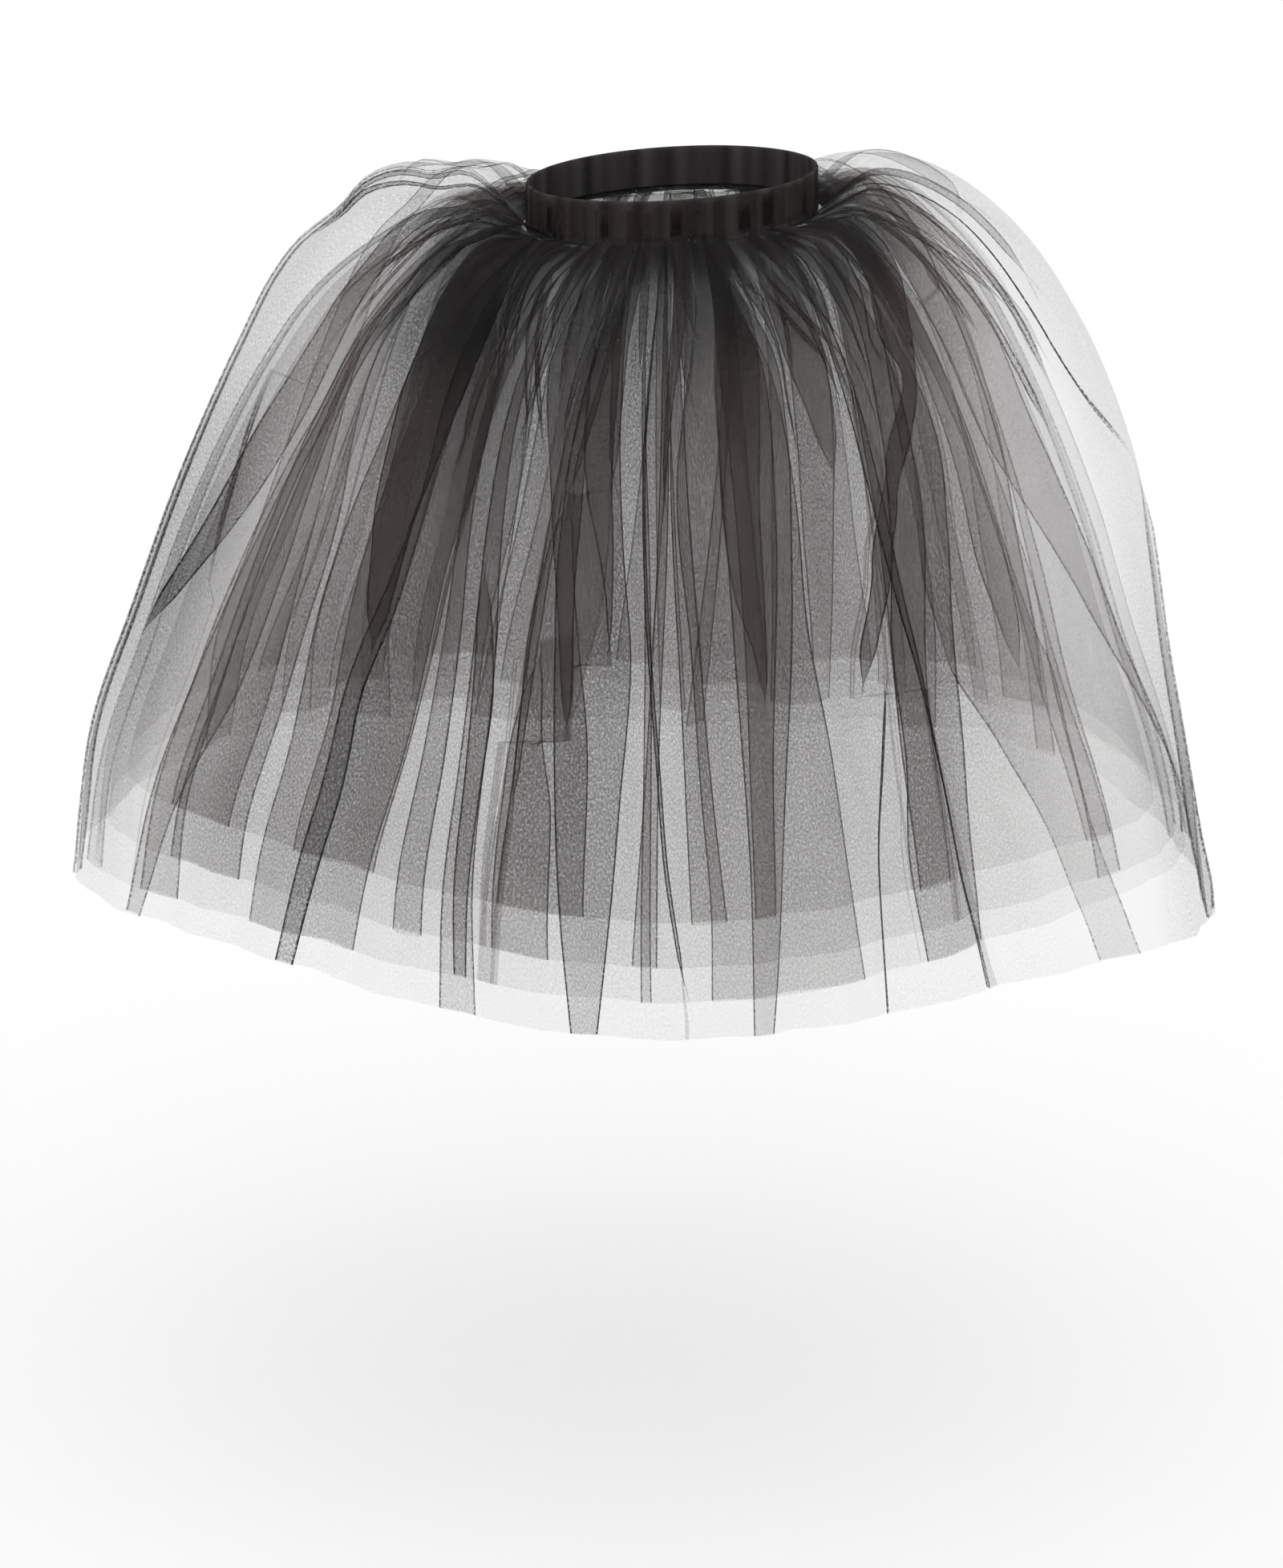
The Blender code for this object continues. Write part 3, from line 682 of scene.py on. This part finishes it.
heading = {
    "height": (0.020, 0.0275),  # how far the top layer runs up over the casing, least and most
    "rows": 5,
    "out": 0.0002,             # how much further out its upper edge is
    "crowding": 2.0,
    # its uneven edge: mean height, and waves of share, count round and start
    "mean": 0.5,
    "waves": ((0.22, 7, 0.6), (0.16, 19, 2.0), (0.12, 43, 0.0)),
}


def withHeading(points, station, bearing, fullness):
    # the top layer's cloth runs on above the seam, up the outside of the casing
    least, most = heading["height"]
    b = bearing[0]
    uneven = sum((share * np.sin(count * b + start) for share, count, start in heading["waves"]),
                 heading["mean"])
    height = least + (most - least) * np.clip(uneven, 0.0, 1.0)
    level = np.zeros_like(b)
    outward = np.stack([np.sin(b), -np.cos(b), level], axis=-1)
    rows, crowding, above = [], [], []
    for k in range(heading["rows"], 0, -1):
        share = k / heading["rows"]
        lift = height * k / heading["rows"]
        rows.append(points[0] + outward * (heading["out"] * share)
                    + np.stack([level, level, height * share], axis=-1))
        crowding.append(heading["crowding"] * thinPatches(b, 1 - lift / skirt["casingHeight"]))
        above.append(-lift / skirt["clothLength"])
    return (np.concatenate([np.stack(rows), points]), np.concatenate([np.stack(above), station]),
            np.concatenate([np.repeat(bearing[:1], heading["rows"], axis=0), bearing]),
            np.concatenate([np.stack(crowding), fullness]))


casing = {
    "columns": 900,
    "wall": 0.0004,
    "cloth": 0.70,             # length of the cut strip round the waist, before it is gathered
    # gathers on its outside: how many, share of the depth, start; drift is how far they stray
    # sideways, and how many times round
    "gathers": ((31, 0.40, 0.3), (19, 0.35, 1.7), (47, 0.25, 2.2)),
    "drift": (0.8, 5),
    "depth": (0.0001, 0.0009), # at its top edge and at the seam
    "depthCurve": 1.3,
    "crowding": 30.0,
    "crowdingVaries": 0.25,    # with the gathers
    "paintedFoldLight": (0.55, 0.4),      # painted light on the gathers: mean, and how much it varies with the gathers
    # its rows down the inside, down the outside (first, last, how many) and tucked in behind the
    # seam, as shares of its height
    "insideRows": (0.95, 0.7, 0.45, 0.2),
    "outsideRows": (0.1, 1.0, 13),
    "tuckedIn": (1.04, 1.12),
    # the fold over the elastic's top edge: rows, level of its ends, and its height
    "foldRows": 5,
    "foldMiddle": -0.0016,
    "foldHeight": 0.0014,
    # where the elastic shows through more: bearing, half width in degrees, share of height
    "thin": ((-56, 2.5, 0.9), (-27, 2.2, 0.7), (1.5, 2.6, 0.9), (29, 3.0, 0.8), (40, 3.6, 1.0),
             (63, 2.0, 0.7), (-82, 3.0, 0.8), (112, 3.0, 0.9), (140, 2.4, 0.8), (171, 3.2, 1.0),
             (-160, 2.6, 0.8), (-124, 3.0, 0.9)),
    # how much thinner it is there, how much of the width is fully so, and its soft ends
    "patch": {"strength": 0.9, "core": 0.6, "topFade": 0.3, "seamFade": 0.15},
}


def thinPatches(b, share):
    # where the gathers part over the casing; share is how far down it, 0 to 1
    patch = casing["patch"]
    left = np.ones_like(b)
    for place, half, tall in casing["thin"]:
        away = np.degrees(np.abs((b - math.radians(place) + math.pi) % fullTurn - math.pi))
        core = half * patch["core"]
        within = 1 - smoothStep((away - core) / core)
        belowTop = smoothStep((share - 1 + tall) / patch["topFade"])
        aboveSeam = smoothStep((1.0 - share) / patch["seamFade"])
        left = left * (1 - patch["strength"] * within * belowTop * aboveSeam)
    return left


def makeCasing(material):
    # the waist casing: a strip of tulle folded over the elastic, crumpled along it
    b = np.linspace(0, fullTurn, casing["columns"], endpoint=False)
    stray, turns = casing["drift"]
    wave = sum(share * np.sin(count * b + start + stray * np.sin(turns * b + start))
               for count, share, start in casing["gathers"])
    inner = -(skirt["elasticThickness"] / 2 + casing["wall"])
    outer = skirt["elasticThickness"] / 2 + skirt["seamGap"] + casing["wall"]
    bottom = -skirt["casingHeight"]
    profile = [(inner, bottom * t, 0.0) for t in casing["insideRows"]]
    for k in range(casing["foldRows"]):    # the fold over the elastic's top edge
        angle = math.pi * k / (casing["foldRows"] - 1)
        profile.append(((inner + outer) / 2 - (outer - inner) / 2 * math.cos(angle),
                        casing["foldMiddle"] + casing["foldHeight"] * math.sin(angle), 0.0))
    profile += [(outer, bottom * t, t) for t in np.linspace(*casing["outsideRows"])]
    profile += [(outer, bottom * t, 1.0) for t in casing["tuckedIn"]]
    rows, crowding, paintedFoldLight, down = [], [], [], []
    shallow, deep = casing["depth"]
    mean, varies = casing["paintedFoldLight"]
    length = 0.0
    for k, (offset, z, share) in enumerate(profile):
        depth = shallow + (deep - shallow) * share ** casing["depthCurve"]
        out = offset + depth * (0.5 + 0.5 * wave) * (share > 0)
        x = (waistHalfBreadth + out) * np.sin(b)
        y = -(waistHalfDepth + out) * np.cos(b)
        rows.append(np.stack([x, y, z + skirt["waistTilt"] * x], axis=-1))
        covered = thinPatches(b, share)
        crowding.append(casing["crowding"] * (1 + casing["crowdingVaries"] * wave) * covered)
        # painted light where the gathers stand out, painted shade where they sink back and where they
        # part over the elastic
        paintedFoldLight.append((mean + varies * wave) * covered)
        length += 0.0 if k == 0 else math.hypot(offset - profile[k - 1][0], z - profile[k - 1][1])
        down.append(np.full_like(b, length))
    across = np.broadcast_to(b / fullTurn * casing["cloth"], (len(rows), len(b)))
    obj = ringMesh("waist_casing_gathered", np.stack(rows),
                   {"fullness": np.stack(crowding), "paintedFoldLight": np.stack(paintedFoldLight)}, across, np.stack(down))
    obj.data.materials.append(material)
    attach(obj, "root")
    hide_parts("waist_casing")
    obj.visible_shadow = False
    print("waist casing made:", len(obj.data.vertices), "points")
    return obj


noiseRepeats = (61, 67)        # hills and hollows across and down, before the pattern comes again
noiseStart = 5                 # keeps the part above the seam on the pattern


def softNoise(across, down, seed):
    # smooth random pattern between -1 and 1, one hill or hollow to a unit
    wide, tall = noiseRepeats
    values = np.random.default_rng(seed).uniform(-1, 1, noiseRepeats)
    i, j = np.floor(across).astype(int), np.floor(down).astype(int)
    a, d = smoothStep(across - i), smoothStep(down - j)
    here, right = values[i % wide, j % tall], values[(i + 1) % wide, j % tall]
    below, both = values[i % wide, (j + 1) % tall], values[(i + 1) % wide, (j + 1) % tall]
    return (here * (1 - a) + right * a) * (1 - d) + (below * (1 - a) + both * a) * d


def makeLayer(name, number, material):
    # one layer of tulle: number is how many layers lie outside it
    points, station, bearing, fullness = layerPoints(name, number)
    if number == 0:
        points, station, bearing, fullness = withHeading(points, station, bearing, fullness)
    hemSpacing = np.linalg.norm(np.roll(points[-1], -1, axis=0) - points[-1], axis=1)
    # each column of the cloth is as wide as anywhere down the skirt, so its net never looks drawn out
    turned = np.abs(np.roll(bearing, -1, axis=1) - bearing)
    columnWidth = np.minimum(turned, fullTurn - turned).max(axis=0) * hemSpacing.sum() / fullTurn
    across = np.broadcast_to(np.concatenate([[0], np.cumsum(columnWidth)[:-1]]), points.shape[:2])
    down = station * skirt["clothLength"]
    wide, tall = tulle["gatherSize"]
    gathered = tulle["gatherShare"] * (1 - smoothStep(station / tulle["gatherEnds"]))
    fullness = fullness * (1 + gathered * softNoise(across / wide, down / tall + noiseStart, number))
    size = tulle["crumpleSize"]
    crumples = softNoise(across / size, down / size + noiseStart, tulle["crumpleSeed"] + number)
    fullness = fullness * (1 + tulle["crumpleShare"] * crumples)
    # painted light and shade for the folds, laid out by smooth noise: lighter towards ridges, darker
    # towards hollows
    paintedFoldLight = 0.0
    for share, scale in tulle["paintedLightNoise"]:
        size = scale * tulle["paintedLightSize"]
        paintedFoldLight = paintedFoldLight + share * softNoise(across / size, down / (2 * size) + noiseStart,
                                          tulle["paintedLightSeed"] + number)
    paintedFoldLight = tulle["paintedLightMean"] + paintedFoldLight
    shift = tulle["shift"] * number
    obj = ringMesh(name + "_net", points, {"fullness": fullness, "paintedFoldLight": paintedFoldLight},
                   across + shift, down + shift)
    obj.data.materials.append(material)
    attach(obj, "root")
    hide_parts(name + "_front", name + "_back")
    obj.visible_shadow = False
    print(name, "made:", len(obj.data.vertices), "points, hem",
          round(float(hemSpacing.sum()), 2), "m round")
    return obj


tulle = {
    # painted shade and painted light on crowded folds: the darker colour in their hollows, the lighter on
    # their ridges
    "shadedAndLitColours": ("#181717", "#393636"),
    "paintedGlowColour": "#4f3c35",   # painted glow: a warm lighter colour where it is one ply, for light glowing a little through the threads
    # the gathers over the elastic: a lighter copy of the net's colours, with painted shade and painted
    # light
    "casingShadedAndLitColours": ("#222121", "#4b4747"),
    "casingShare": (0.20, 0.25),
    "paintedLightSize": 0.060,        # painted light and shade, from fold to fold in metres, where the cloth is spread out flat
    "paintedLightMean": 0.5,
    "paintedLightNoise": ((0.35, 1.0), (0.30, 0.4)),    # strength of the painted light and shade, and size as a share of the fold-to-fold size above
    "paintedLightSeed": 20,
    "throughOnePly": 0.897,    # light that one flat ply lets through
    "holeSize": 0.0022,        # real holes are about 1.2 mm: coarser, to show as grain
    # how unevenly the net covers where it lies flat and where it is crowded, and how full those are
    "threadShare": (0.32, 0.65),
    "threadFullness": (0.9, 2.5),
    "holeContrast": (0.25, 0.75),
    "glowFullness": (0.8, 2.8),    # where the glow is strongest, and where it has gone
    "crumpleSize": 0.016,      # crumples left from folding, in metres
    "crumpleShare": 0.10,
    "crumpleSeed": 9,
    "gatherSize": (0.028, 0.10),   # fine gathers under the waist, across and along the cloth
    "gatherShare": 0.35,
    "gatherEnds": 0.25,        # station where they have smoothed out
    "slantShare": 0.25,        # how much denser the net is where it is seen edge-on
    "creaseDarkness": 5.0,     # extra cloth in the turn of a fold
    "roughness": 0.7,
    "shift": 0.731,            # so that the patterns of two layers never line up
}


def makeTulle(name, shadedAndLitColours, threadShare):
    # fine hexagonal nylon net: a grey veil where it is one ply, nearly black where it is gathered
    material, tree = newMaterial(name)
    uv = addNode(tree, "ShaderNodeUVMap", uv_map="cloth")
    fullness = addNode(tree, "ShaderNodeAttribute", attribute_name="fullness", attribute_type="GEOMETRY")
    pattern = addNode(tree, "ShaderNodeTexNoise", {"Vector": uv.outputs["UV"], "Detail": 0.0,
                                                  "Scale": 1 / tulle["holeSize"]}, noise_dimensions="2D")
    faint, strong = tulle["holeContrast"]
    holes = addNode(tree, "ShaderNodeMapRange", {"Value": pattern.outputs["Fac"], "From Min": faint,
                                                "From Max": strong, "To Min": 0.0, "To Max": 2.0})
    flatShare, crowdedShare = threadShare
    flat, full = tulle["threadFullness"]
    crowded = addNode(tree, "ShaderNodeMapRange", {"Value": fullness.outputs["Fac"], "From Min": flat,
                                                  "From Max": full, "To Min": flatShare,
                                                  "To Max": crowdedShare})
    threads = addNode(tree, "ShaderNodeMix", {0: crowded.outputs["Result"], 2: 1.0,
                                             3: holes.outputs["Result"]}).outputs[0]
    facing = addNode(tree, "ShaderNodeLayerWeight", {"Blend": 0.5})
    slant = addNode(tree, "ShaderNodeMapRange", {"Value": facing.outputs["Facing"], "To Min": 1.0,
                                                "To Max": 1 + tulle["slantShare"]})
    cover = fullness.outputs["Fac"]
    for factor in (threads, slant.outputs["Result"]):
        cover = addNode(tree, "ShaderNodeMath", {0: cover, 1: factor}, operation="MULTIPLY").outputs[0]
    through = addNode(tree, "ShaderNodeMath", {0: tulle["throughOnePly"], 1: cover}, operation="POWER")
    alpha = addNode(tree, "ShaderNodeMath", {0: 1.0, 1: through.outputs["Value"]}, operation="SUBTRACT")
    # painted shade in the fold hollows and painted light on the ridges, mixed by the attribute made above
    paintedLightNoise = addNode(tree, "ShaderNodeAttribute", attribute_name="paintedFoldLight", attribute_type="GEOMETRY")
    folds = addNode(tree, "ShaderNodeMix", {0: paintedLightNoise.outputs["Fac"], 6: linearColour(shadedAndLitColours[0]),
                                            7: linearColour(shadedAndLitColours[1])}, data_type="RGBA")
    # painted glow: the warm lighter colour where the net is one ply, gone where it is crowded
    glowing, dark = tulle["glowFullness"]
    glow = addNode(tree, "ShaderNodeMapRange", {"Value": fullness.outputs["Fac"], "From Min": glowing,
                                               "From Max": dark})
    threadColour = addNode(tree, "ShaderNodeMix", {0: glow.outputs["Result"],
                                                  6: linearColour(tulle["paintedGlowColour"]),
                                                  7: folds.outputs[2]}, data_type="RGBA")
    surface = addNode(tree, "ShaderNodeBsdfPrincipled", {
        "Base Color": threadColour.outputs[2], "Roughness": tulle["roughness"],
        "Specular IOR Level": 0.0, "Alpha": alpha.outputs["Value"]})
    addNode(tree, "ShaderNodeOutputMaterial", {"Surface": surface.outputs["BSDF"]})
    return material


elastic = {
    "colour": "#0e0d0d",
    "ribSpacing": 0.0017453293,    # in metres, from rib to rib
    "ribDepth": 0.0003,
    "ribStrength": 0.25,
    "roughness": 0.85,
    "shine": 0.2,
}


def makeElastic():
    # flat woven elastic: matt black with fine ribs along its length
    material, tree = newMaterial("black woven elastic")
    place = addNode(tree, "ShaderNodeTexCoord")
    ribs = addNode(tree, "ShaderNodeTexWave", {"Vector": place.outputs["Object"], "Distortion": 0.0,
                                              "Scale": math.pi / 10 / elastic["ribSpacing"]},
                   wave_type="BANDS", bands_direction="Z", wave_profile="SIN")
    bump = addNode(tree, "ShaderNodeBump", {"Strength": elastic["ribStrength"],
                                           "Distance": elastic["ribDepth"],
                                           "Height": ribs.outputs["Fac"]})
    surface = addNode(tree, "ShaderNodeBsdfPrincipled", {
        "Base Color": linearColour(elastic["colour"]), "Roughness": elastic["roughness"],
        "Specular IOR Level": elastic["shine"], "Normal": bump.outputs["Normal"]})
    addNode(tree, "ShaderNodeOutputMaterial", {"Surface": surface.outputs["BSDF"]})
    return material


stage = {
    "floorDrop": 0.875,        # waist to floor
    "floorSize": 40.0,
    "floorColour": "#fbfbfb",
    "roomLight": 0.885,        # soft light from all round
}
lamps = (
    # name, direction it shines in, softness in degrees, strength
    ("key", (0.45, 0.75, -0.8), 60, 0.42),
    ("fill", (-0.7, 0.5, -0.6), 90, 0.28),
    ("rim", (0.1, -0.8, -0.7), 60, 0.20),
)
view = {
    "place": (-0.0204, -3.8895, 0.9338),
    "lookDown": 19.377,        # degrees below level
    "lens": 136.4,
}


def makeStage():
    bpy.ops.mesh.primitive_plane_add(size=stage["floorSize"], location=(0, 0, -stage["floorDrop"]))
    floor = bpy.context.active_object
    floor.name = "floor"
    material, tree = newMaterial("matt white paint")
    surface = addNode(tree, "ShaderNodeBsdfPrincipled", {
        "Base Color": linearColour(stage["floorColour"]), "Roughness": 0.9})
    addNode(tree, "ShaderNodeOutputMaterial", {"Surface": surface.outputs["BSDF"]})
    floor.data.materials.append(material)

    world = bpy.data.worlds.new("soft white room")
    world.use_nodes = True
    background = world.node_tree.nodes["Background"]
    seen = addNode(world.node_tree, "ShaderNodeLightPath")
    level = addNode(world.node_tree, "ShaderNodeMapRange", {"Value": seen.outputs["Is Camera Ray"],
                                                           "To Min": stage["roomLight"], "To Max": 1.0})
    world.node_tree.links.new(level.outputs["Result"], background.inputs["Strength"])
    background.inputs["Color"].default_value = (1.0, 1.0, 1.0, 1.0)
    world.cycles.sampling_method = "MANUAL"
    world.cycles.sample_map_resolution = 16
    bpy.context.scene.world = world

    for name, direction, softness, strength in lamps:
        lamp = bpy.data.lights.new(name, "SUN")
        lamp.angle = math.radians(softness)
        lamp.energy = strength
        obj = bpy.data.objects.new(name, lamp)
        x, y, z = direction
        obj.rotation_euler = (math.atan2(math.hypot(x, y), -z), 0, math.atan2(y, x) - math.pi / 2)
        bpy.context.scene.collection.objects.link(obj)


def makeCamera():
    camera = bpy.data.cameras.new("camera")
    camera.lens = view["lens"]
    camera.sensor_width = 36.0
    camera.clip_end = 100.0
    obj = bpy.data.objects.new("camera", camera)
    obj.location = view["place"]
    obj.rotation_euler = (math.radians(90 - view["lookDown"]), 0, 0)
    bpy.context.scene.collection.objects.link(obj)
    bpy.context.scene.camera = obj


makeCamera()
makeStage()
print("camera, floor and lights set")
# nothing is lit by bounced light, and a line of sight passes through many plies of net
bpy.context.scene.view_settings.view_transform = "Standard"
bpy.context.scene.cycles.transparent_max_bounces = 96
bpy.context.scene.cycles.max_bounces = 0
net = makeTulle("black nylon tulle net", tulle["shadedAndLitColours"], tulle["threadShare"])
# a lighter copy of the net, with painted light and shade, for the gathers over the elastic
gatheredNetPaintedLighter = makeTulle("black tulle gathered over elastic, painted lighter", tulle["casingShadedAndLitColours"], tulle["casingShare"])
print("tulle made")
makeCasing(gatheredNetPaintedLighter)
for number, name in enumerate(layers):
    makeLayer(name, number, net)
for slot in bpy.data.objects["waist_elastic"].material_slots:
    slot.material = makeElastic()
print("elastic finished")
